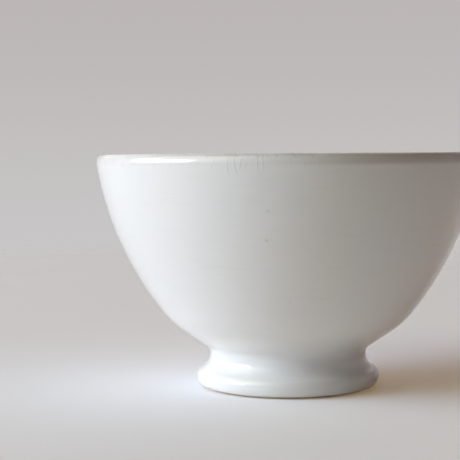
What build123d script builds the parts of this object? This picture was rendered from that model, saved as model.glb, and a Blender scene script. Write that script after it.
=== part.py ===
from build123d import *
from collections import namedtuple
from math import acos, atan2, cos, degrees, radians, sin, sqrt, tan
import os

# A footed latte bowl in white-glazed earthenware. The thrown bowl stands on a turned foot ring that is
# luted to it with slip. Glaze covers the outside, the inside and the hollow of the foot, and stops short
# of the narrow bare ring that the foot rests on.
# Millimetres, +Z up. The origin is the middle of that resting ring.

# Bowl
rim_diameter = 130.0
height = 79.8
wall_thickness = 4.6  # finished wall, with its glaze on both sides
lip_bend_radius = 4.0  # swelling of the lip
lip_edge_radius = 2.0  # outer edge of the lip, at its crest
lip_edge_angle = 25.0  # how far above level the swelling turns before it passes into the edge
wall_bend_radius = 110.5
belly_bend_radius = 32.2
belly_bend_diameter = 35.3  # across the circle that the belly's bend is centred on
belly_bend_height = 46.1
inner_belly_radius = 40.0
floor_bend_radius = 100.0
floor_thickness = 6.7  # clay under the middle of the floor

# Foot ring and the slip joint under the bowl
foot_diameter = 62.6
foot_height = 11.1
foot_edge_radius = 4.0
neck_depth = 4.6  # how far the neck is drawn in from the edge of the foot
neck_bend_radius = 3.4  # hollow between the neck and the bowl
shoulder_share = 0.36  # how much of the curve from foot edge to neck is round, the rest being hollow
foot_wall = 6.0  # finished wall of the foot at its neck
rest_width = 3.0
well_edge_radius = 2.0
well_corner_radius = 2.0
slip_thickness = 0.4

# Glaze
glaze_thickness = 0.4
glaze_stop_angle = 60.0  # how far round the foot's lower edges the glaze reaches, below level

# A bend is an arc of an outline. Its bulge is 1 where the clay is inside the arc's circle and -1 where
# the clay is outside it, as in a hollow. Outlines are drawn with the radius across and the height up.
Bend = namedtuple("Bend", "centre radius start end bulge")
touching = 1e-6


def heading(start, end):
    """Direction from one point to another, in degrees from the radial direction."""
    step = end - start
    return degrees(atan2(step.Y, step.X))


def meet(first, first_reach, second, second_reach, side):
    """Point at one reach from the first centre and the other from the second, left of the line at side 1."""
    across = second - first
    along = (first_reach**2 - second_reach**2 + across.length**2) / (2 * across.length)
    aside = sqrt(first_reach**2 - along**2)
    unit = across.normalized()
    return first + unit * along + unit.rotate(Axis.Z, 90) * aside * side


def crossing(first, second, radii):
    """Angle where a straight run leaves one bend for another on its other side, from their radii's sum."""
    gap = second - first
    return heading(first, second) + degrees(acos(radii / gap.length))


def trace(bends, inset=0.0):
    """Draw the bends, moved into the clay by the inset, with straight runs between, and return both ends."""
    arcs = []
    for bend in bends:
        radius = bend.radius - bend.bulge * inset
        arcs.append(CenterArc(bend.centre, radius, bend.start, bend.end - bend.start))
    for before, after in zip(arcs, arcs[1:]):
        if (after @ 0 - before @ 1).length > touching:
            Line(before @ 1, after @ 0)
    return arcs[0] @ 0, arcs[-1] @ 1


def coat(bends):
    """Draw a closed strip, one glaze thick, under the bends."""
    surface = trace(bends)
    back = trace(bends, glaze_thickness)
    Line(surface[0], back[0])
    Line(surface[1], back[1])


# Heights and radii that follow from the sizes
foot_radius = foot_diameter / 2
neck_radius = foot_radius - neck_depth
neck_height = foot_height + slip_thickness
inner_wall_radius = wall_bend_radius - wall_thickness
clay_neck_radius = neck_radius - glaze_thickness

# Centres of the bowl's bends. The wall touches the belly's bend and the lip's from outside, the inner
# belly touches the inner wall and the floor, and the lip's outer edge and inner rounding share one crest.
edge_turn = radians(lip_edge_angle)
edge_reach = Vector(cos(edge_turn), sin(edge_turn)) * (lip_bend_radius - lip_edge_radius)
lip_centre = Vector(rim_diameter / 2 - lip_bend_radius, height - lip_edge_radius - edge_reach.Y)
lip_edge_centre = lip_centre + edge_reach
belly_centre = Vector(belly_bend_diameter / 2, belly_bend_height)
wall_centre = meet(
    belly_centre, wall_bend_radius - belly_bend_radius, lip_centre, wall_bend_radius - lip_bend_radius, 1
)
neck_centre = Vector(neck_radius + neck_bend_radius, neck_height)
floor_level = neck_height + floor_thickness + glaze_thickness
floor_centre = Vector(0, floor_level + floor_bend_radius)
inner_belly_centre = meet(
    wall_centre,
    inner_wall_radius - inner_belly_radius,
    floor_centre,
    floor_bend_radius - inner_belly_radius,
    -1,
)
crest = Vector(lip_edge_centre.X, height)
crest_reach = crest - wall_centre
crest_excess = crest_reach.length**2 - inner_wall_radius**2
inner_lip_radius = crest_excess / (2 * (inner_wall_radius + crest_reach.Y))
inner_lip_centre = crest - Vector(0, inner_lip_radius)

# Angles where the bowl's bends pass into each other
neck_turn = crossing(neck_centre, belly_centre, neck_bend_radius + belly_bend_radius)
belly_turn = heading(wall_centre, belly_centre)
lip_turn = heading(wall_centre, lip_centre)
inner_lip_turn = heading(wall_centre, inner_lip_centre)
inner_belly_turn = heading(wall_centre, inner_belly_centre)
floor_turn = heading(floor_centre, inner_belly_centre)

outer_bends = [
    Bend(neck_centre, neck_bend_radius, 180, neck_turn, -1),
    Bend(belly_centre, belly_bend_radius, neck_turn - 180, belly_turn, 1),
    Bend(wall_centre, wall_bend_radius, belly_turn, lip_turn, 1),
    Bend(lip_centre, lip_bend_radius, lip_turn, lip_edge_angle, 1),
    Bend(lip_edge_centre, lip_edge_radius, lip_edge_angle, 90, 1),
]
inner_bends = [
    Bend(inner_lip_centre, inner_lip_radius, 90, inner_lip_turn + 180, 1),
    Bend(wall_centre, inner_wall_radius, inner_lip_turn, inner_belly_turn, -1),
    Bend(inner_belly_centre, inner_belly_radius, inner_belly_turn, floor_turn, -1),
    Bend(floor_centre, floor_bend_radius, floor_turn, -90, -1),
]

# Bends of the foot, whose round shoulder passes into its hollow neck
shoulder_rise = foot_height - foot_edge_radius
sweep_radius = (shoulder_rise**2 + neck_depth**2) / (2 * neck_depth)
shoulder_radius = shoulder_share * sweep_radius
hollow_radius = sweep_radius - shoulder_radius
edge_centre = Vector(foot_radius - foot_edge_radius, foot_edge_radius)
shoulder_centre = Vector(foot_radius - shoulder_radius, foot_edge_radius)
hollow_centre = Vector(neck_radius + hollow_radius, foot_height)
shoulder_turn = heading(shoulder_centre, hollow_centre)
foot_bends = [
    Bend(edge_centre, foot_edge_radius, -glaze_stop_angle, 0, 1),
    Bend(shoulder_centre, shoulder_radius, 0, shoulder_turn, 1),
    Bend(hollow_centre, hollow_radius, shoulder_turn + 180, 180, -1),
]


def bevel_reach(edge_radius):
    """How far outside the centre of a lower edge the bevel under its glaze meets the table."""
    stop = radians(glaze_stop_angle)
    return (edge_radius - glaze_thickness) / cos(stop) - edge_radius * tan(stop)


# The bare resting ring, which a short bevel joins to the clay edge at the end of each glaze
rest_outer = edge_centre.X + bevel_reach(foot_edge_radius)
rest_inner = rest_outer - rest_width

# The hollow under the foot, a cone with a rounded edge below and a glazed corner at its ceiling
well_radius = neck_radius - foot_wall
well_ceiling = neck_height - glaze_thickness
well_edge_centre = Vector(rest_inner + bevel_reach(well_edge_radius), well_edge_radius)
well_corner_centre = Vector(well_radius - well_corner_radius, well_ceiling - well_corner_radius)
well_turn = crossing(well_edge_centre, well_corner_centre, well_edge_radius + well_corner_radius)
well_edge = Bend(well_edge_centre, well_edge_radius, 180 + glaze_stop_angle, well_turn, 1)
well_corner = Bend(well_corner_centre, well_corner_radius, well_turn - 180, 90, -1)


def clay_well_radius(level):
    """Radius of the clay cone inside the foot at a height."""
    draft = radians(well_turn - 180)
    clay_edge_radius = well_edge_radius - glaze_thickness
    return well_edge_centre.X - clay_edge_radius / cos(draft) - (level - well_edge_radius) * tan(draft)


with BuildPart() as bowl_body:
    with BuildSketch(Plane.XZ):
        with BuildLine():
            clay = trace(outer_bends + inner_bends, glaze_thickness)
            Polyline(clay[1], (0, neck_height), clay[0])
        make_face()
    revolve(axis=Axis.Z)
bowl_body.part.label = "bowl_body"

with BuildPart() as foot_ring:
    with BuildSketch(Plane.XZ):
        with BuildLine():
            outside = trace(foot_bends, glaze_thickness)
            inside = trace([well_edge], glaze_thickness)
            Polyline(outside[1], (clay_well_radius(foot_height), foot_height), inside[1])
            Polyline(inside[0], (rest_inner, 0), (rest_outer, 0), outside[0])
        make_face()
    revolve(axis=Axis.Z)
foot_ring.part.label = "foot_ring"

with BuildPart() as luting_slip:
    with BuildSketch(Plane.XZ):
        with BuildLine():
            Polyline(
                (clay_neck_radius, foot_height),
                (clay_neck_radius, neck_height),
                (clay_well_radius(neck_height), neck_height),
                (clay_well_radius(foot_height), foot_height),
                close=True,
            )
        make_face()
    revolve(axis=Axis.Z)
luting_slip.part.label = "luting_slip"

with BuildPart() as outer_glaze:
    with BuildSketch(Plane.XZ):
        with BuildLine():
            coat(foot_bends + outer_bends)
        make_face()
    revolve(axis=Axis.Z)
outer_glaze.part.label = "outer_glaze"

with BuildPart() as inner_glaze:
    with BuildSketch(Plane.XZ):
        with BuildLine():
            coat(inner_bends)
        make_face()
    revolve(axis=Axis.Z)
inner_glaze.part.label = "inner_glaze"

with BuildPart() as foot_well_glaze:
    with BuildSketch(Plane.XZ):
        with BuildLine():
            surface = trace([well_edge, well_corner])
            back = trace([well_edge], glaze_thickness)
            Line(surface[0], back[0])
            Polyline(
                surface[1],
                (0, well_ceiling),
                (0, neck_height),
                (clay_well_radius(neck_height), neck_height),
                back[1],
            )
        make_face()
    revolve(axis=Axis.Z)
foot_well_glaze.part.label = "foot_well_glaze"

os.makedirs("parts", exist_ok=True)
for piece in (bowl_body, foot_ring, luting_slip, outer_glaze, inner_glaze, foot_well_glaze):
    export_step(piece.part, f"parts/{piece.part.label}.step")
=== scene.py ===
from collections import namedtuple
from math import acos, atan, cos, degrees, hypot, pi, radians, sin, sqrt, tan

import bpy
import numpy as np
from mathutils import Matrix, Vector


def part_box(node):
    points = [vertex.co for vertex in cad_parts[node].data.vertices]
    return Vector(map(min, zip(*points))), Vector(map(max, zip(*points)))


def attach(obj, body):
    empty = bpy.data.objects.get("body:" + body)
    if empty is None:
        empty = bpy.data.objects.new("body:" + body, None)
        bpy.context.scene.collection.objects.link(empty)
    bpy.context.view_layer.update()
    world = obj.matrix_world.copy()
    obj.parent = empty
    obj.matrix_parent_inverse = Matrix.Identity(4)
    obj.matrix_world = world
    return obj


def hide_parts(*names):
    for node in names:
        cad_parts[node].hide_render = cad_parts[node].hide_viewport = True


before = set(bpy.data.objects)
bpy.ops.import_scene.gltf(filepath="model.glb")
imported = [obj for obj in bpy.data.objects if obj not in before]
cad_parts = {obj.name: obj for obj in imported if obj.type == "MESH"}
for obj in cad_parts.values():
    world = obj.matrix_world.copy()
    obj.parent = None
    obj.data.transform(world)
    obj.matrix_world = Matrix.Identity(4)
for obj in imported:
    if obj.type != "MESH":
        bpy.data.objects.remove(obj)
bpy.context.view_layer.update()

# The bowl stands at the origin with its mouth up, and the camera looks along +Y. An angle round the bowl
# is zero at the front and grows to the right. Shapes are worked out in millimetres and stored in metres.
MM = 0.001


def box_mm(node):
    """Lowest and highest corner of a CAD node, in millimetres."""
    low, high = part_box(node)
    return np.array(low) / MM, np.array(high) / MM


# Sizes that the CAD boxes give
coat_high = box_mm("outer_glaze")[1]
lining_low = box_mm("inner_glaze")[0]
bowl_low, bowl_high = box_mm("bowl_body")
ring_high = box_mm("foot_ring")[1]
slip_high = box_mm("luting_slip")[1]
GLAZE = coat_high[0] - bowl_high[0]
RIM_RADIUS = coat_high[0]
HEIGHT = coat_high[2]
FOOT_RADIUS = ring_high[0] + GLAZE
FOOT_HEIGHT = ring_high[2]
NECK_RADIUS = slip_high[0] + GLAZE
NECK_HEIGHT = bowl_low[2]
FLOOR_LEVEL = lining_low[2] + GLAZE

# Sizes of the bends, as in the CAD
WALL = 4.6
LIP_BEND = 4.0
LIP_EDGE = 2.0
LIP_EDGE_ANGLE = 25.0
WALL_BEND = 110.5
BELLY_BEND = 32.2
BELLY_CENTRE = np.array((17.65, 46.1))
INNER_BELLY_BEND = 40.0
FLOOR_BEND = 100.0
NECK_BEND = 3.4
SHOULDER_SHARE = 0.36
FOOT_EDGE = 4.0
FOOT_WALL = 6.0
REST_WIDTH = 3.0
WELL_EDGE = 2.0
WELL_CORNER = 2.0
GLAZE_STOP = 60.0

# An outline is a run of bends, drawn with the radius across and the height up. A bend's bulge is 1 where
# the clay is inside its circle and -1 where the clay is outside it.
Bend = namedtuple("Bend", "centre radius start end bulge")
BEND_STEP = 0.04  # millimetres between points
TOUCHING = 1e-6


def heading(start, end):
    """Direction from one point to another, in degrees from the radial direction."""
    return degrees(np.arctan2(end[1] - start[1], end[0] - start[0]))


def meet(first, first_reach, second, second_reach, side):
    """Point at one reach from the first centre and one from the second, left of the line at side 1."""
    across = second - first
    gap = hypot(*across)
    along = (first_reach**2 - second_reach**2 + gap**2) / (2 * gap)
    aside = sqrt(first_reach**2 - along**2)
    unit = across / gap
    return first + unit * along + np.array((-unit[1], unit[0])) * aside * side


def crossing(first, second, radii):
    """Angle where a straight run leaves one bend for another on its other side, from their radii's sum."""
    return heading(first, second) + degrees(acos(radii / hypot(*(second - first))))


def outline(bends, inset=0.0):
    """Points along the bends, arcs about their centres whose radii give way by the inset into the clay."""
    arcs = []
    for bend in bends:
        radius = bend.radius - bend.bulge * inset
        count = int(radius * radians(abs(bend.end - bend.start)) / BEND_STEP) + 2
        turn = np.radians(np.linspace(bend.start, bend.end, count))
        arcs.append(bend.centre + radius * np.column_stack((np.cos(turn), np.sin(turn))))
    points = np.vstack(arcs)
    moved = np.hypot(*np.diff(points, axis=0).T) > TOUCHING
    return points[np.concatenate(([True], moved))]


def foot_bends():
    """Bends of the foot's outside from its lower edge up to the neck."""
    rise, depth = FOOT_HEIGHT - FOOT_EDGE, FOOT_RADIUS - NECK_RADIUS
    sweep = (rise**2 + depth**2) / (2 * depth)
    shoulder_radius = SHOULDER_SHARE * sweep
    hollow_radius = sweep - shoulder_radius
    edge = np.array((FOOT_RADIUS - FOOT_EDGE, FOOT_EDGE))
    shoulder = np.array((FOOT_RADIUS - shoulder_radius, FOOT_EDGE))
    hollow = np.array((NECK_RADIUS + hollow_radius, FOOT_HEIGHT))
    shoulder_turn = heading(shoulder, hollow)
    return [
        Bend(edge, FOOT_EDGE, -GLAZE_STOP, 0, 1),
        Bend(shoulder, shoulder_radius, 0, shoulder_turn, 1),
        Bend(hollow, hollow_radius, shoulder_turn + 180, 180, -1),
    ]


def bowl_bends():
    """Bends of the bowl's outside, neck to crest, and of its inside, crest to the middle of the floor."""
    edge_turn = radians(LIP_EDGE_ANGLE)
    edge_reach = (LIP_BEND - LIP_EDGE) * np.array((cos(edge_turn), sin(edge_turn)))
    lip = np.array((RIM_RADIUS - LIP_BEND, HEIGHT - LIP_EDGE - edge_reach[1]))
    lip_edge = lip + edge_reach
    wall = meet(BELLY_CENTRE, WALL_BEND - BELLY_BEND, lip, WALL_BEND - LIP_BEND, 1)
    neck = np.array((NECK_RADIUS + NECK_BEND, NECK_HEIGHT))
    inner_radius = WALL_BEND - WALL
    floor = np.array((0.0, FLOOR_LEVEL + FLOOR_BEND))
    inner_belly = meet(wall, inner_radius - INNER_BELLY_BEND, floor, FLOOR_BEND - INNER_BELLY_BEND, -1)
    crest = np.array((lip_edge[0], HEIGHT))
    reach = crest - wall
    inner_lip_radius = (reach @ reach - inner_radius**2) / (2 * (inner_radius + reach[1]))
    inner_lip = crest - (0, inner_lip_radius)
    neck_turn = crossing(neck, BELLY_CENTRE, NECK_BEND + BELLY_BEND)
    belly_turn = heading(wall, BELLY_CENTRE)
    lip_turn = heading(wall, lip)
    inner_lip_turn = heading(wall, inner_lip)
    inner_belly_turn = heading(wall, inner_belly)
    floor_turn = heading(floor, inner_belly)
    outside = [
        Bend(neck, NECK_BEND, 180, neck_turn, -1),
        Bend(BELLY_CENTRE, BELLY_BEND, neck_turn - 180, belly_turn, 1),
        Bend(wall, WALL_BEND, belly_turn, lip_turn, 1),
        Bend(lip, LIP_BEND, lip_turn, LIP_EDGE_ANGLE, 1),
        Bend(lip_edge, LIP_EDGE, LIP_EDGE_ANGLE, 90, 1),
    ]
    inside = [
        Bend(inner_lip, inner_lip_radius, 90, inner_lip_turn + 180, 1),
        Bend(wall, inner_radius, inner_lip_turn, inner_belly_turn, -1),
        Bend(inner_belly, INNER_BELLY_BEND, inner_belly_turn, floor_turn, -1),
        Bend(floor, FLOOR_BEND, floor_turn, -90, -1),
    ]
    return outside, inside


def slope_reach(edge):
    """How far beyond the centre of a rounded edge the slope under its glaze meets the table."""
    slope = radians(GLAZE_STOP)
    return (edge - GLAZE) / cos(slope) - edge * tan(slope)


def rest_ring():
    """Outer and inner radius of the bare ring that the foot stands on."""
    outer = FOOT_RADIUS - FOOT_EDGE + slope_reach(FOOT_EDGE)
    return outer, outer - REST_WIDTH


def well_bends():
    """Bends of the hollow under the foot, from its lower edge up to its ceiling."""
    inner = rest_ring()[1]
    edge = np.array((inner + slope_reach(WELL_EDGE), WELL_EDGE))
    corner = np.array((NECK_RADIUS - FOOT_WALL - WELL_CORNER, FOOT_HEIGHT - WELL_CORNER))
    turn = crossing(edge, corner, WELL_EDGE + WELL_CORNER)
    return [
        Bend(edge, WELL_EDGE, 180 + GLAZE_STOP, turn, 1),
        Bend(corner, WELL_CORNER, turn - 180, 90, -1),
    ]


# Turned surfaces
AROUND = 288
ANGLE = np.linspace(-pi, pi, AROUND, endpoint=False)
EDGE_SPARE = 0.6  # length that an outline has to spare beyond the edge of its glaze
EDGE_ROUND = 0.8  # length over which the edge rounds down to the clay
EDGE_POINTS = 8
EDGE_FADE = 1.5  # length over which the wandering of the edge dies away
POINT_GAP = 0.1  # least distance from the last point of the edge to the next one
BACK_INSET = 0.4  # how far the back of the glaze stays inside its edge
COAT_POINTS = (245, 56)
WELL_POINTS = (90, 30)
FOOT_POINTS = 110
REST_POINTS = 12
ROUGHNESS = 0.012  # depth of the waves on the bare clay
OUT_OF_ROUND = ((2, 0.0009, 0.7), (3, 0.0005, 2.1), (5, 0.0002, 0.3))  # shares of the radius
RIM_WAVES = ((1, 0.15, -pi / 2), (2, 0.05, pi), (3, 0.07, 0.9), (7, 0.01, 2.0))  # millimetres of height
# Wandering of the lower edges of the glaze, in millimetres along the slope
COAT_EDGE = ((1, 0.12, 0.4), (3, 0.1, 1.9), (7, 0.06, 0.2), (13, 0.04, 2.6), (29, 0.02, 1.1))
WELL_GLAZE_EDGE = ((2, 0.12, 2.4), (5, 0.1, 0.9), (11, 0.06, 1.2), (17, 0.04, 0.6), (31, 0.02, 2.1))


def wave(angle, *terms):
    """Sum of whole waves round the bowl; each term is a count of waves, a size and a start."""
    return sum(size * np.cos(count * angle + start) for count, size, start in terms)


def marks_of(points):
    """Distance of each point along its outline."""
    return np.concatenate(([0.0], np.cumsum(np.hypot(*np.diff(points, axis=0).T))))


def spaced(points, count, turn_share):
    """Distances along an outline for count points, shared between its length and its turning."""
    steps = np.diff(points, axis=0)
    lengths = np.hypot(*steps.T)
    turning = np.abs(np.gradient(np.unwrap(np.arctan2(steps[:, 1], steps[:, 0]))))
    cost = lengths / lengths.sum() + turn_share * turning / turning.sum()
    share = np.concatenate(([0.0], np.cumsum(cost)))
    return np.interp(np.linspace(0, share[-1], count), share, marks_of(points))


def lifted(points, along, lift):
    """Radius and height of an outline at distances along it, moved by the lift to the right of its run."""
    steps = np.diff(points, axis=0)
    marks = marks_of(points)
    middles = (marks[:-1] + marks[1:]) / 2
    right = np.column_stack((steps[:, 1], -steps[:, 0])) / np.diff(marks)[:, None]
    return [
        np.interp(along, marks, points[:, k]) + lift * np.interp(along, middles, right[:, k])
        for k in (0, 1)
    ]


def unevenness(radius, height):
    """A turned shape as made by hand: waves round it draw it out of round, and raise and lower the rim."""
    share = np.clip(height / HEIGHT, 0, 1)
    radius = radius * (1 + share * wave(ANGLE, *OUT_OF_ROUND))
    height = height + share**3 * wave(ANGLE, *RIM_WAVES)
    return radius, height


def lathe(name, radius, height, along, poles, material):
    """A closed mesh from grids of radius and height, rows along a closed outline, columns round the axis.

    A point is at radius times the sine and minus the cosine of its column's angle, at its height. A row
    that poles names is one point on the axis. The map "turned" holds the angle in turns from the back and
    the distance along the outline in metres.
    """
    rows, columns = radius.shape
    points = np.stack((radius * np.sin(ANGLE), -radius * np.cos(ANGLE), height), -1) * MM
    index = np.arange(rows * columns).reshape(rows, columns)
    for row in poles:
        index[row] = index[row, 0]
    beside = np.roll(index, -1, axis=1)
    corners = (index, beside, np.roll(beside, -1, axis=0), np.roll(index, -1, axis=0))
    quads = np.stack(corners, -1).reshape(-1, 4)
    turn = np.broadcast_to(np.arange(columns) / columns, (rows, columns))
    far = np.broadcast_to(along * MM, (rows, columns))
    ahead = np.roll(far, -1, axis=0)
    corner_u = np.stack((turn, turn + 1 / columns, turn + 1 / columns, turn), -1).reshape(-1, 4)
    corner_v = np.stack((far, far, ahead, ahead), -1).reshape(-1, 4)
    used, quads = np.unique(quads, return_inverse=True)
    quads = quads.reshape(-1, 4)
    solid = ~((quads[:, 0] == quads[:, 1]) & (quads[:, 2] == quads[:, 3]))
    quads, corner_u, corner_v = quads[solid], corner_u[solid], corner_v[solid]
    kept = quads != np.roll(quads, 1, axis=1)
    sizes = kept.sum(1)
    mesh = bpy.data.meshes.new(name)
    mesh.vertices.add(len(used))
    mesh.vertices.foreach_set("co", points.reshape(-1, 3)[used].astype(np.float32).ravel())
    mesh.loops.add(int(sizes.sum()))
    mesh.loops.foreach_set("vertex_index", quads[kept].astype(np.int32))
    mesh.polygons.add(len(quads))
    mesh.polygons.foreach_set("loop_start", (np.cumsum(sizes) - sizes).astype(np.int32))
    mesh.polygons.foreach_set("use_smooth", np.ones(len(quads), bool))
    layer = mesh.uv_layers.new(name="turned", do_init=False)
    corner_uv = np.stack((corner_u[kept], corner_v[kept]), -1)
    layer.uv.foreach_set("vector", corner_uv.astype(np.float32).ravel())
    mesh.update(calc_edges=True)
    mesh.validate()
    mesh.materials.append(material)
    piece = bpy.data.objects.new(name, mesh)
    bpy.context.scene.collection.objects.link(piece)
    return piece


def glaze_coat(name, bends, side, counts, edge_wave, rings, material):
    """A coat of glaze as one closed skin, from a rounded edge on the foot's slope to a point on the axis.

    Its face is the outline of the bends turned round the axis, moved out by the rings and drawn in to the
    clay along a quarter circle at the edge; the edge wanders along the slope by the edge wave. Its back is
    the same outline one glaze thickness into the clay. Side is 1 where the clay is left of the outline's
    run. The counts are the points along the face and the back.
    """
    path = outline(bends)
    run = path[1] - path[0]
    path = np.vstack((path[0] - run / hypot(*run) * EDGE_SPARE, path))
    if path[-1, 0] > TOUCHING:
        path = np.vstack((path, (0.0, path[-1, 1])))
    end = marks_of(path)[-1]
    face_at = spaced(path, counts[0], 1.0)
    edge_at = EDGE_SPARE + EDGE_ROUND * (1 - np.cos(np.linspace(0, pi / 2, EDGE_POINTS)))
    face_at = np.concatenate((edge_at, face_at[face_at > edge_at[-1] + POINT_GAP]))
    back_at = np.linspace(end, EDGE_SPARE + BACK_INSET, counts[1])
    gone = np.clip(1 - (face_at - EDGE_SPARE) / EDGE_ROUND, 0, 1)
    face_lift = rings(face_at) - GLAZE * (1 - np.sqrt(1 - gone**2))
    base = np.concatenate((face_at, back_at))[:, None]
    lift = np.concatenate((face_lift, np.full(len(back_at), -GLAZE)))[:, None]
    along = base + edge_wave * np.exp((EDGE_SPARE - base) / EDGE_FADE)
    radius, height = lifted(path, along, lift * side)
    radius, height = unevenness(radius, height)
    poles = (len(face_at) - 1, len(face_at))
    radius[poles, :] = 0
    if side < 0:
        radius, height, along = radius[::-1], height[::-1], along[::-1]
        poles = tuple(len(radius) - 1 - pole for pole in poles)
    return lathe(name, radius, height, along, poles, material)


def bowl_rings(along):
    """Shallow turning rings above the foot: an uneven sine of the distance along the face."""
    return 0.012 * np.sin(along * 0.86 + np.sin(along * 0.2)) * np.clip((along - 22) / 20, 0, 1)


def well_rings(along):
    """Turning rings of the ceiling under the foot: a sine that fades out at the corner and the middle."""
    fade = np.clip((along - 12) / 6, 0, 1) * np.clip((34 - along) / 5, 0, 1)
    return 0.05 * np.sin(along * 1.9) * fade


def foot_clay(name, material):
    """The foot's ring of bare clay: its closed section turned round the axis, roughened by fine waves."""
    outer, inner = rest_ring()
    edge, corner = well_bends()
    top = degrees(np.arcsin((FOOT_HEIGHT - corner.centre[1]) / (corner.radius + GLAZE)))
    well = outline([edge, corner._replace(end=top)], GLAZE)
    path = np.vstack(((inner, 0), (outer, 0), outline(foot_bends(), GLAZE), well[::-1], (inner, 0)))
    rest_at = np.linspace(0, REST_WIDTH, REST_POINTS)[1:]
    at = np.sort(np.concatenate((spaced(path, FOOT_POINTS, 1.0), rest_at)))[:-1]
    rough = wave(ANGLE, (37, 1, 0.2), (61, 0.8, 1.3)) * np.cos(3.1 * at)[:, None]
    rough = rough + wave(ANGLE, (83, 0.7, 2.2), (23, 1, 0.9)) * np.sin(4.7 * at)[:, None]
    radius, height = lifted(path, at[:, None], -ROUGHNESS * np.abs(rough))
    return lathe(name, radius, np.maximum(height, 0), at[:, None] + 0 * ANGLE, (), material)


# Shader nodes
class Nodes:
    """Adds nodes to a shader tree; a value is a number, a tuple or another node's socket."""

    def __init__(self, tree):
        self.tree = tree

    def add(self, kind, values=None, **settings):
        """A new node of a kind, with its inputs fed and its settings made."""
        node = self.tree.nodes.new("ShaderNode" + kind)
        for name, value in settings.items():
            setattr(node, name, value)
        for key, value in (values or {}).items():
            if isinstance(value, bpy.types.NodeSocket):
                self.tree.links.new(value, node.inputs[key])
            else:
                node.inputs[key].default_value = value
        return node

    def math(self, operation, *values):
        """Result of an arithmetic operation on values."""
        return self.add("Math", dict(enumerate(values)), operation=operation).outputs[0]

    def step(self, value, start, end, low=0.0, high=1.0):
        """Smooth step of a value from low at start to high at end."""
        values = {"Value": value, "From Min": start, "From Max": end, "To Min": low, "To Max": high}
        return self.add("MapRange", values, interpolation_type="SMOOTHSTEP").outputs["Result"]

    def mix(self, share, first, second):
        """Blend of two colours."""
        return self.add("Mix", {0: share, 6: first, 7: second}, data_type="RGBA").outputs[2]

    def most(self, values):
        """Largest of several values."""
        result = values[0]
        for value in values[1:]:
            result = self.math("MAXIMUM", result, value)
        return result

    def sum(self, values):
        """Total of several values."""
        result = values[0]
        for value in values[1:]:
            result = self.math("ADD", result, value)
        return result

    def scale(self, vector, factor):
        """A vector times a factor."""
        return self.add("VectorMath", {0: vector, 3: factor}, operation="SCALE").outputs[0]

    def stretch(self, vector, factors):
        """A vector with each of its parts times a factor of its own."""
        return self.add("VectorMath", {0: vector, 1: factors}, operation="MULTIPLY").outputs[0]

    def dot(self, vector, way):
        """How far a vector goes along a direction."""
        return self.add("VectorMath", {0: vector, 1: way}, operation="DOT_PRODUCT").outputs["Value"]

    def group(self, tree, values):
        """The outgoing values of a node group."""
        return self.add("Group", values, node_tree=tree).outputs


def effect(name, inputs, outputs):
    """A node group with the sockets named, and its nodes, its incoming values and its outgoing node."""
    tree = bpy.data.node_groups.new(name, "ShaderNodeTree")
    for way, sockets in (("INPUT", inputs), ("OUTPUT", outputs)):
        for label in sockets:
            kind = "NodeSocketVector" if label == "Position" else "NodeSocketFloat"
            tree.interface.new_socket(label, in_out=way, socket_type=kind)
    return tree, Nodes(tree), tree.nodes.new("NodeGroupInput").outputs, tree.nodes.new("NodeGroupOutput")


def hairline_effect():
    """One crack in the glaze: a thin bowed line from one depth to another, and a painted highlight along
    its left, a pale band that stands for light catching the crack.

    Its centre is at place + lean * t + bow * 4 t (1 - t), where t goes from 0 to 1 between the two depths.
    """
    inputs = ("Around", "Depth", "Place", "Lean", "Bow", "From", "To", "Width", "Strength")
    tree, n, given, out = effect("hairline", inputs, ("Line", "Painted_Glint"))
    span = n.math("SUBTRACT", given["To"], given["From"])
    part = n.math("DIVIDE", n.math("SUBTRACT", given["Depth"], given["From"]), span)
    curve = n.math("MULTIPLY", n.math("MULTIPLY", part, n.math("SUBTRACT", 1.0, part)), 4.0)
    centre = n.math("MULTIPLY_ADD", given["Lean"], part, given["Place"])
    centre = n.math("MULTIPLY_ADD", given["Bow"], curve, centre)
    aside = n.math("DIVIDE", n.math("SUBTRACT", given["Around"], centre), given["Width"])
    within = n.math("MULTIPLY", n.step(part, -0.04, 0.12), n.step(part, 0.7, 1.05, 1.0, 0.0))
    within = n.math("MULTIPLY", within, given["Strength"])
    line = n.step(n.math("ABSOLUTE", aside), 0.3, 1.0, 1.0, 0.0)
    # Painted highlight: a pale band on the crack's left, for light that catches it
    painted_glint = n.step(n.math("ABSOLUTE", n.math("ADD", aside, 1.8)), 0.2, 1.2, 1.0, 0.0)
    n.tree.links.new(n.math("MULTIPLY", line, within), out.inputs["Line"])
    n.tree.links.new(n.math("MULTIPLY", painted_glint, within), out.inputs["Painted_Glint"])
    return tree


def crazing_effect():
    """A net of fine cracks: the edges of uneven cells of the size given, in millimetres."""
    tree, n, given, out = effect("crazing", ("Position", "Cell", "Width"), ("Lines",))
    shrunk = n.scale(given["Position"], n.math("DIVIDE", 1.0, given["Cell"]))
    stray = n.add("TexNoise", {"Vector": shrunk, "Scale": 1.7, "Detail": 2.0}).outputs["Color"]
    values = {0: stray, 1: (0.45, 0.45, 0.45), 2: shrunk}
    bent = n.add("VectorMath", values, operation="MULTIPLY_ADD")
    cells = n.add("TexVoronoi", {"Vector": bent.outputs[0], "Scale": 1.0}, feature="DISTANCE_TO_EDGE")
    gap = n.math("MULTIPLY", cells.outputs["Distance"], given["Cell"])
    line = n.math("SUBTRACT", 1.0, n.step(n.math("DIVIDE", gap, given["Width"]), 0.2, 1.0))
    n.tree.links.new(line, out.inputs["Lines"])
    return tree


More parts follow.
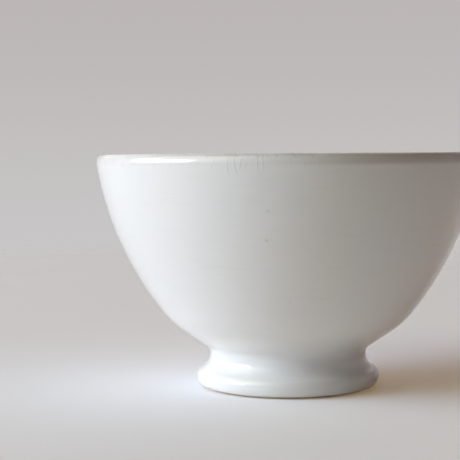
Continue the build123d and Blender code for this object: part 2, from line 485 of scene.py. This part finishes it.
def pits_effect():
    """Scattered round pits: dots up to the size given, in a share of cells of the spacing given."""
    tree, n, given, out = effect("pits", ("Position", "Spacing", "Size", "Share"), ("Dots",))
    shrunk = n.scale(given["Position"], n.math("DIVIDE", 1.0, given["Spacing"]))
    cells = n.add("TexVoronoi", {"Vector": shrunk, "Scale": 1.0})
    chance = n.add("SeparateColor", {0: cells.outputs["Color"]})
    gap = n.math("MULTIPLY", cells.outputs["Distance"], given["Spacing"])
    reach = n.math("MULTIPLY", given["Size"], n.math("MULTIPLY_ADD", chance.outputs[1], 0.6, 0.4))
    dot = n.math("SUBTRACT", 1.0, n.step(n.math("DIVIDE", gap, reach), 0.55, 1.0))
    there = n.math("LESS_THAN", chance.outputs[0], given["Share"])
    n.tree.links.new(n.math("MULTIPLY", dot, there), out.inputs["Dots"])
    return tree


def clouds_effect():
    """Soft cloudy change from 0 to 1, over the size given in millimetres."""
    tree, n, given, out = effect("clouds", ("Position", "Size", "Detail"), ("Value",))
    shrunk = n.scale(given["Position"], n.math("DIVIDE", 1.0, given["Size"]))
    noise = n.add("TexNoise", {"Vector": shrunk, "Scale": 1.0, "Detail": given["Detail"]})
    n.tree.links.new(n.step(noise.outputs["Fac"], 0.3, 0.7), out.inputs["Value"])
    return tree


hairline, crazing, pits, clouds = hairline_effect(), crazing_effect(), pits_effect(), clouds_effect()


def new_material(name):
    """A material with a Principled shader, its nodes, and the place on the piece in millimetres."""
    material = bpy.data.materials.new(name)
    material.use_nodes = True
    n = Nodes(material.node_tree)
    place = n.scale(n.add("TexCoord").outputs["Object"], 1 / MM)
    return material, n, material.node_tree.nodes["Principled BSDF"], place


# Cracks seen at the front of the lip: place round the rim and how far it leans and bows on the way down,
# drop below the crest from and to, all in millimetres, then the strength
LIP_CRACKS = (
    (-26.6, -2.9, 0.3, 0.9, 4.7, 0.35),
    (-21.7, -2.0, -0.2, 1.7, 5.1, 0.7),
    (-17.6, 0.3, -0.6, 1.1, 7.2, 0.9),
    (-15.9, 1.4, -0.5, 1.4, 7.2, 0.9),
    (-13.6, -0.8, 0.1, 1.2, 5.1, 1.0),
    (-12.2, -0.6, 0.0, 2.3, 5.1, 0.5),
    (-8.9, 0.1, 0.1, 1.1, 5.5, 1.0),
    (-7.4, 0.5, 0.1, 1.2, 5.3, 0.9),
    (0.9, 0.1, 0.2, 1.2, 4.7, 0.35),
    (4.7, 1.1, -0.2, 1.1, 6.1, 0.35),
    (9.3, 0.0, 0.2, 1.1, 4.5, 0.3),
)
CRACK_WIDTH = 0.22
# Short nicks across the crest: place round the rim in millimetres and the strength
LIP_NICKS = (
    (-24.6, 1.0),
    (-15.3, 1.0),
    (-11.6, 0.8),
    (-8.6, 0.9),
    (-7.2, 0.8),
    (-5.7, 0.9),
    (-3.0, 0.9),
    (2.5, 1.0),
    (7.6, 0.9),
)
NICK_WIDTH = 0.3
NICK_FROM = -0.2
NICK_TO = 1.5
# Pinholes seen on the wall: place round the rim, height, radius and strength
PINHOLES = ((-6.2, 62.5, 0.8, 0.2), (-7.0, 53.5, 0.6, 0.4))

# Colours of the glaze, its stains, painted shade and painted highlights, and the clay
COOL_WHITE = (0.845, 0.855, 0.845, 1)
WARM_WHITE = (0.862, 0.858, 0.838, 1)
# Pooled glaze, also darkened as painted shade on the foot
POOLED_AND_SHADED_WHITE = (0.805, 0.82, 0.815, 1)
WELL_COOL_WHITE = (0.82, 0.83, 0.81, 1)
WELL_WARM_WHITE = (0.85, 0.835, 0.80, 1)
# Painted highlight beside the cracks
PAINTED_GLINT_WHITE = (0.93, 0.93, 0.92, 1)
STREAK_GREY = (0.70, 0.68, 0.64, 1)
# Lip tan and crest wear: real stain, with painted shade of the right side and of the upward-facing crest
LIP_STAIN_AND_SHADE_TAN = (0.44, 0.39, 0.34, 1)
CREST_WEAR_AND_SHADE_BROWN = (0.50, 0.46, 0.40, 1)
CRACK_BROWN = (0.34, 0.30, 0.25, 1)
WELL_CRACK_BROWN = (0.42, 0.34, 0.25, 1)
PIT_BROWN = (0.38, 0.31, 0.23, 1)
SPECK_BROWN = (0.30, 0.22, 0.15, 1)
GRIME = (0.36, 0.31, 0.26, 1)
BISCUIT_PALE = (0.80, 0.71, 0.58, 1)
BISCUIT_DARK = (0.66, 0.55, 0.42, 1)
SLIP_PALE = (0.83, 0.76, 0.65, 1)
SLIP_DARK = (0.74, 0.65, 0.53, 1)
PIT_STAIN = 0.75
GLAZE_IOR = 1.52

foot_outside = foot_bends()
bowl_outside, bowl_inside = bowl_bends()


def coat_material():
    """White glaze of outside and inside: cloudy, stained and crazed at the lip, with a few pinholes,
    painted shade on the lip's right side, crest and foot, and painted highlights beside the cracks.
    """
    material, n, shader, place = new_material("white_glaze")
    crest = EDGE_SPARE + marks_of(outline(foot_outside + bowl_outside))[-1]
    turned = n.add("SeparateXYZ", {0: n.add("UVMap", uv_map="turned").outputs[0]})
    around = n.math("MULTIPLY", n.math("SUBTRACT", turned.outputs[0], 0.5), 2 * pi * RIM_RADIUS)
    depth = n.math("SUBTRACT", crest, n.math("MULTIPLY", turned.outputs[1], 1 / MM))
    high = n.add("SeparateXYZ", {0: place}).outputs[2]
    drop = n.math("SUBTRACT", HEIGHT, high)
    from_crest = n.math("ABSOLUTE", depth)
    outer = n.step(depth, -0.2, 0.2)

    def lip_crack(spot, lean, bow, start, end, strength, width):
        """One crack of the lip, as its line and its painted highlight."""
        values = {"Around": around, "Depth": drop, "Place": spot, "Lean": lean, "Bow": bow}
        values |= {"From": start, "To": end, "Width": width, "Strength": strength}
        return n.group(hairline, values)

    cracks = [lip_crack(*course, CRACK_WIDTH) for course in LIP_CRACKS]
    nicks = [
        lip_crack(spot, 0.0, 0.0, NICK_FROM, NICK_TO, strength, NICK_WIDTH)
        for spot, strength in LIP_NICKS
    ]
    lines = n.most([crack["Line"] for crack in cracks + nicks])
    # Painted highlight beside the cracks on the outside
    painted_glint = n.math("MULTIPLY", n.most([crack["Painted_Glint"] for crack in cracks]), outer)
    net = n.group(crazing, {"Position": n.stretch(place, (1.0, 1.0, 0.24)), "Cell": 3.4, "Width": 0.16})[0]
    patch = n.group(clouds, {"Position": place, "Size": 16.0, "Detail": 1.0})[0]
    reach = n.math("MULTIPLY_ADD", patch, 6.0, 3.0)
    near_lip = n.step(n.math("DIVIDE", from_crest, reach), 0.35, 1.0, 1.0, 0.0)
    away_from_front = n.step(n.math("ABSOLUTE", n.math("ADD", around, 8.0)), 20.0, 30.0)
    net = n.math("MULTIPLY", n.math("MULTIPLY", net, near_lip), n.math("MULTIPLY", away_from_front, 0.3))
    crack = n.math("MAXIMUM", net, n.math("MULTIPLY", lines, outer))

    cloud = n.group(clouds, {"Position": place, "Size": 30.0, "Detail": 2.0})[0]
    colour = n.mix(cloud, COOL_WHITE, WARM_WHITE)
    # Foot and neck: thicker pooled glaze, and painted shade that holds down the light on the foot
    pooled_and_shaded = n.step(high, NECK_HEIGHT - 2, NECK_HEIGHT + 9, 1.0, 0.0)
    colour = n.mix(n.math("MULTIPLY", pooled_and_shaded, n.step(depth, 40.0, 60.0)), colour, POOLED_AND_SHADED_WHITE)
    values = {"Vector": n.stretch(place, (0.09, 0.09, 0.9)), "Scale": 1.0, "Detail": 3.0}
    streak = n.step(n.add("TexNoise", values).outputs["Fac"], 0.56, 0.72)
    colour = n.mix(n.math("MULTIPLY", streak, 0.10), colour, STREAK_GREY)

    blot = n.group(clouds, {"Position": place, "Size": 7.0, "Detail": 3.0})[0]
    # Right side of the rim, turned away from the lamps, where the lip's tan and the crest wear are made
    # stronger as painted shade
    right = n.math("MULTIPLY", n.step(around, -10.0, 30.0), n.step(around, 120.0, 180.0, 1.0, 0.0))
    # Tan band down the lip: a faint real stain all round, made much stronger on the right as painted shade
    lip_stain_and_shade = n.math("MULTIPLY_ADD", right, 0.33, 0.09)
    lip_stain_and_shade = n.math("MULTIPLY", n.step(from_crest, 3.8, 5.4, 1.0, 0.0), lip_stain_and_shade)
    colour = n.mix(lip_stain_and_shade, colour, LIP_STAIN_AND_SHADE_TAN)
    # Crest band: real wear and stain, and painted shade of the upward-facing crest, stronger on the right
    blotted = n.math("MULTIPLY_ADD", blot, 0.5, 0.55)
    crest_wear_and_shade = n.math("MULTIPLY", n.step(from_crest, 1.2, 2.8, 1.0, 0.0), blotted)
    crest_wear_and_shade = n.math("MULTIPLY", crest_wear_and_shade, n.math("MULTIPLY_ADD", right, 0.1, 0.6))
    # Painted shade: the crest band is weaker on the left, where the lamps fall on it
    from_lit_side = n.math("ABSOLUTE", n.math("ADD", around, 75.0))
    crest_wear_and_shade = n.math("MULTIPLY", crest_wear_and_shade, n.step(from_lit_side, 20.0, 45.0, 0.2, 1.0))
    colour = n.mix(crest_wear_and_shade, colour, CREST_WEAR_AND_SHADE_BROWN)
    # Painted highlight: a paler band beside each crack, for light catching it
    colour = n.mix(n.math("MULTIPLY", painted_glint, 0.5), colour, PAINTED_GLINT_WHITE)
    colour = n.mix(n.math("MULTIPLY", crack, 0.28), colour, CRACK_BROWN)

    dots = n.group(pits, {"Position": place, "Spacing": 9.0, "Size": 0.22, "Share": 0.16})[0]
    unrolled = n.add("CombineXYZ", {0: around, 1: high}).outputs[0]
    for spot, level, size, strength in PINHOLES:
        gap = n.add("VectorMath", {0: unrolled, 1: (spot, level, 0)}, operation="DISTANCE")
        hole = n.step(gap.outputs["Value"], 0.2 * size, size, strength, 0.0)
        hole = n.math("MULTIPLY", hole, outer)
        dots = n.math("MAXIMUM", dots, hole)
    colour = n.mix(n.math("MULTIPLY", dots, PIT_STAIN), colour, PIT_BROWN)
    n.tree.links.new(colour, shader.inputs["Base Color"])

    rough = n.math("MULTIPLY_ADD", blot, 0.05, 0.07)
    rough = n.sum([rough, n.math("MULTIPLY", crack, 0.2), n.math("MULTIPLY", crest_wear_and_shade, 0.12)])
    n.tree.links.new(rough, shader.inputs["Roughness"])
    peel = n.group(clouds, {"Position": place, "Size": 4.5, "Detail": 1.0})[0]
    height = n.math("MULTIPLY", peel, 0.008)
    height = n.sum([height, n.math("MULTIPLY", crack, -0.03), n.math("MULTIPLY", dots, -0.05)])
    bump = n.add("Bump", {"Height": height, "Distance": MM, "Strength": 1.0})
    n.tree.links.new(bump.outputs[0], shader.inputs["Normal"])
    shader.inputs["IOR"].default_value = GLAZE_IOR
    return material


def well_material():
    """White glaze under the foot, with a stained net of crazing and pits."""
    material, n, shader, place = new_material("well_glaze")
    net = n.group(crazing, {"Position": place, "Cell": 5.0, "Width": 0.14})[0]
    cloud = n.group(clouds, {"Position": place, "Size": 14.0, "Detail": 2.0})[0]
    colour = n.mix(cloud, WELL_COOL_WHITE, WELL_WARM_WHITE)
    stain = n.math("MULTIPLY", net, n.math("MULTIPLY_ADD", cloud, 0.4, 0.15))
    colour = n.mix(stain, colour, WELL_CRACK_BROWN)
    dots = n.group(pits, {"Position": place, "Spacing": 5.0, "Size": 0.25, "Share": 0.2})[0]
    colour = n.mix(n.math("MULTIPLY", dots, PIT_STAIN), colour, PIT_BROWN)
    n.tree.links.new(colour, shader.inputs["Base Color"])
    n.tree.links.new(n.math("MULTIPLY_ADD", cloud, 0.06, 0.1), shader.inputs["Roughness"])
    height = n.sum([n.math("MULTIPLY", net, -0.02), n.math("MULTIPLY", dots, -0.05)])
    bump = n.add("Bump", {"Height": height, "Distance": MM, "Strength": 1.0})
    n.tree.links.new(bump.outputs[0], shader.inputs["Normal"])
    shader.inputs["IOR"].default_value = GLAZE_IOR
    return material


def clay_material(name, pale, dark, grime):
    """Bare fired clay: sandy grain, dark specks and rubbed-in grime where it touches the table."""
    material, n, shader, place = new_material(name)
    grain = n.group(clouds, {"Position": place, "Size": 0.6, "Detail": 4.0})[0]
    cloud = n.group(clouds, {"Position": place, "Size": 9.0, "Detail": 2.0})[0]
    specks = n.group(pits, {"Position": place, "Spacing": 1.6, "Size": 0.2, "Share": 0.25})[0]
    colour = n.mix(n.math("MULTIPLY_ADD", grain, 0.6, n.math("MULTIPLY", cloud, 0.4)), pale, dark)
    colour = n.mix(n.math("MULTIPLY", specks, 0.6), colour, SPECK_BROWN)
    high = n.add("SeparateXYZ", {0: place}).outputs[2]
    low = n.math("MULTIPLY", n.step(high, 0.05, 0.5, 1.0, 0.0), n.math("MULTIPLY_ADD", cloud, 0.5, 0.3))
    colour = n.mix(n.math("MULTIPLY", low, grime), colour, GRIME)
    n.tree.links.new(colour, shader.inputs["Base Color"])
    n.tree.links.new(n.math("MULTIPLY_ADD", grain, 0.2, 0.7), shader.inputs["Roughness"])
    bump = n.add("Bump", {"Height": n.math("MULTIPLY", grain, 0.03), "Distance": MM, "Strength": 1.0})
    n.tree.links.new(bump.outputs[0], shader.inputs["Normal"])
    return material


# The bowl's pieces
biscuit = clay_material("biscuit_clay", BISCUIT_PALE, BISCUIT_DARK, 0.8)
slip = clay_material("joining_slip", SLIP_PALE, SLIP_DARK, 0.0)
coat_edge, well_edge = wave(ANGLE, *COAT_EDGE), wave(ANGLE, *WELL_GLAZE_EDGE)
coat_bends = foot_outside + bowl_outside + bowl_inside
coat = glaze_coat("glaze_coat", coat_bends, 1, COAT_POINTS, coat_edge, bowl_rings, coat_material())
well = glaze_coat("well_glaze", well_bends(), -1, WELL_POINTS, well_edge, well_rings, well_material())
foot = foot_clay("foot_clay", biscuit)
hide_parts("outer_glaze", "inner_glaze")
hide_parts("foot_well_glaze")
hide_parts("foot_ring")
for piece, slot in ((coat, "glaze"), (well, "glaze"), (foot, "biscuit")):
    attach(piece, "root")
for name, material in (("bowl_body", biscuit), ("luting_slip", slip)):
    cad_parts[name].data.materials.clear()
    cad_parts[name].data.materials.append(material)

# Camera, fitted to the outline of the bowl in the photograph, in its pixels
PHOTO = 460.0
FOCAL_PIXELS = 1355.2
AXIS_PIXEL = 287.6
RIM_PIXEL = 153.2
CAMERA_DISTANCE = 464.6
CAMERA_HEIGHT = HEIGHT
CAMERA_ROLL = 0.006
SENSOR = 36.0


def add_camera():
    """A camera level with the rim, turned left and down so that the bowl sits right of the middle."""
    middle = PHOTO / 2
    yaw = atan((AXIS_PIXEL - middle) / FOCAL_PIXELS)
    pitch = atan((middle - RIM_PIXEL) / FOCAL_PIXELS)
    forward = Vector((-sin(yaw) * cos(pitch), cos(yaw) * cos(pitch), -sin(pitch)))
    right = Vector((cos(yaw), sin(yaw), 0))
    up = right.cross(forward)
    rolled_right = right * cos(CAMERA_ROLL) - up * sin(CAMERA_ROLL)
    rolled_up = right * sin(CAMERA_ROLL) + up * cos(CAMERA_ROLL)
    data = bpy.data.cameras.new("camera")
    data.sensor_fit = "HORIZONTAL"
    data.sensor_width = SENSOR
    data.lens = SENSOR * FOCAL_PIXELS / PHOTO
    data.clip_start = 0.01
    camera = bpy.data.objects.new("camera", data)
    place = Matrix((rolled_right, rolled_up, -forward)).transposed().to_4x4()
    place.translation = Vector((0, -CAMERA_DISTANCE, CAMERA_HEIGHT)) * MM
    camera.matrix_world = place
    bpy.context.scene.collection.objects.link(camera)
    bpy.context.scene.camera = camera


# Lamps
LAMP_DISTANCE = 6.0  # metres from the middle of the rim
WINDOW_BRIGHTNESS = 10.4
DAYLIGHT = (0.68, 0.78, 1.0)
CREAM_LIGHT = (1.0, 0.955, 0.72)
ROSY_LIGHT = (1.0, 0.92, 0.87)


def add_lamp(name, azimuth, elevation, wide, tall, brightness, colour):
    """A flat lamp facing the bowl, placed and sized by angles round it and above the table, in degrees."""
    data = bpy.data.lights.new(name, "AREA")
    data.shape = "RECTANGLE"
    data.size, data.size_y = (2 * LAMP_DISTANCE * tan(radians(angle / 2)) for angle in (wide, tall))
    data.energy = brightness * pi * data.size * data.size_y
    data.color = colour
    lamp = bpy.data.objects.new(name, data)
    az, el = radians(azimuth), radians(elevation)
    away = Vector((sin(az) * cos(el), -cos(az) * cos(el), sin(el)))
    lamp.location = away * LAMP_DISTANCE + Vector((0, 0, HEIGHT * MM))
    lamp.rotation_euler = away.to_track_quat("Z", "Y").to_euler()
    bpy.context.scene.collection.objects.link(lamp)


# The room: what the camera sees behind the bowl, and the light that comes in from each way
BACKDROP_HIGH = (0.505, 0.47, 0.472, 1)
BACKDROP_LOW = (0.575, 0.562, 0.563, 1)
ROOM_WAY = (0.7, 0.7, 0.0)
ROOM_DIM = (0.004, 0.003, 0.002, 1)
ROOM_BRIGHT = (0.10, 0.03, 0.008, 1)
BELOW_WAY = (0.55, -0.25, -0.8)
ROOM_BELOW = (1.1, 1.07, 1.03, 1)


def seen_ray(n):
    """1 for a ray that shows a thing, to the camera or in a reflection, and 0 for one that only lights."""
    path = n.add("LightPath").outputs
    return n.most([path[kind] for kind in ("Is Camera Ray", "Is Glossy Ray", "Is Transmission Ray")])


def add_world():
    """Dim warm light from behind on the right, and soft light from below, which the floor holds back.

    Only the underside gets the light from below. The camera and reflections see a plain backdrop instead,
    paler towards the floor.
    """
    world = bpy.data.worlds.new("room")
    bpy.context.scene.world = world
    world.use_nodes = True
    n = Nodes(world.node_tree)
    light = world.node_tree.nodes["Background"]
    way = n.add("TexCoord").outputs["Generated"]
    colour = n.mix(n.step(n.dot(way, ROOM_WAY), -0.2, 0.7), ROOM_DIM, ROOM_BRIGHT)
    colour = n.mix(n.step(n.dot(way, BELOW_WAY), 0.62, 1.0), colour, ROOM_BELOW)
    n.tree.links.new(colour, light.inputs["Color"])
    lift = n.add("SeparateXYZ", {0: way}).outputs[2]
    backdrop = n.mix(n.step(lift, -0.08, 0.12), BACKDROP_LOW, BACKDROP_HIGH)
    seen = n.add("Background", {"Color": backdrop})
    values = {0: seen_ray(n), 1: light.outputs[0], 2: seen.outputs[0]}
    output = world.node_tree.nodes["World Output"]
    n.tree.links.new(n.add("MixShader", values).outputs[0], output.inputs[0])


# The floor, with one colour for the light that it throws on the bowl and another, with a faint glow, for
# how it looks
FLOOR_HOLE = rest_ring()[0] * MM
FLOOR_REACH = 3.0  # metres
FLOOR_FADE = (420.0, 820.0)  # millimetres from the axis
FLOOR_POINTS = 96
FLOOR_LIT = (0.95, 0.92, 0.905, 1)
FLOOR_SEEN = (0.665, 0.75, 0.885, 1)
FLOOR_GLOW = (0.185, 0.132, 0.07, 1)


def add_floor():
    """A pale round floor that fades into the backdrop, open under the foot and clear from below."""
    turn = np.linspace(0, 2 * pi, FLOOR_POINTS, endpoint=False)
    circle = np.column_stack((np.cos(turn), np.sin(turn), 0 * turn))
    points = np.vstack((circle * FLOOR_HOLE, circle * FLOOR_REACH))
    index = np.arange(FLOOR_POINTS)
    after = np.roll(index, -1)
    faces = np.column_stack((index, index + FLOOR_POINTS, after + FLOOR_POINTS, after))
    mesh = bpy.data.meshes.new("floor")
    mesh.from_pydata(points.tolist(), [], faces.tolist())
    material, n, shader, place = new_material("pale_floor")
    seen = seen_ray(n)
    n.tree.links.new(n.mix(seen, FLOOR_LIT, FLOOR_SEEN), shader.inputs["Base Color"])
    shader.inputs["Emission Color"].default_value = FLOOR_GLOW
    n.tree.links.new(seen, shader.inputs["Emission Strength"])
    shader.inputs["Roughness"].default_value = 0.9
    shader.inputs["Specular IOR Level"].default_value = 0.1
    away = n.add("VectorMath", {0: place}, operation="LENGTH").outputs["Value"]
    gone = n.math("MAXIMUM", n.step(away, *FLOOR_FADE), n.add("NewGeometry").outputs["Backfacing"])
    values = {0: gone, 1: shader.outputs[0], 2: n.add("BsdfTransparent").outputs[0]}
    output = material.node_tree.nodes["Material Output"]
    n.tree.links.new(n.add("MixShader", values).outputs[0], output.inputs[0])
    mesh.materials.append(material)
    floor = bpy.data.objects.new("floor", mesh)
    bpy.context.scene.collection.objects.link(floor)


add_camera()
add_lamp("window", -76.0, 15.5, 36.5, 21, WINDOW_BRIGHTNESS, DAYLIGHT)
add_lamp("window_pane", -99.0, 15.5, 5, 21, WINDOW_BRIGHTNESS, DAYLIGHT)
add_lamp("soft_side", -66, 35, 60, 50, 1.9, CREAM_LIGHT)
add_lamp("soft_back", -168, 38, 60, 50, 0.55, ROSY_LIGHT)
add_world()
add_floor()
bpy.context.scene.view_settings.view_transform = "Standard"
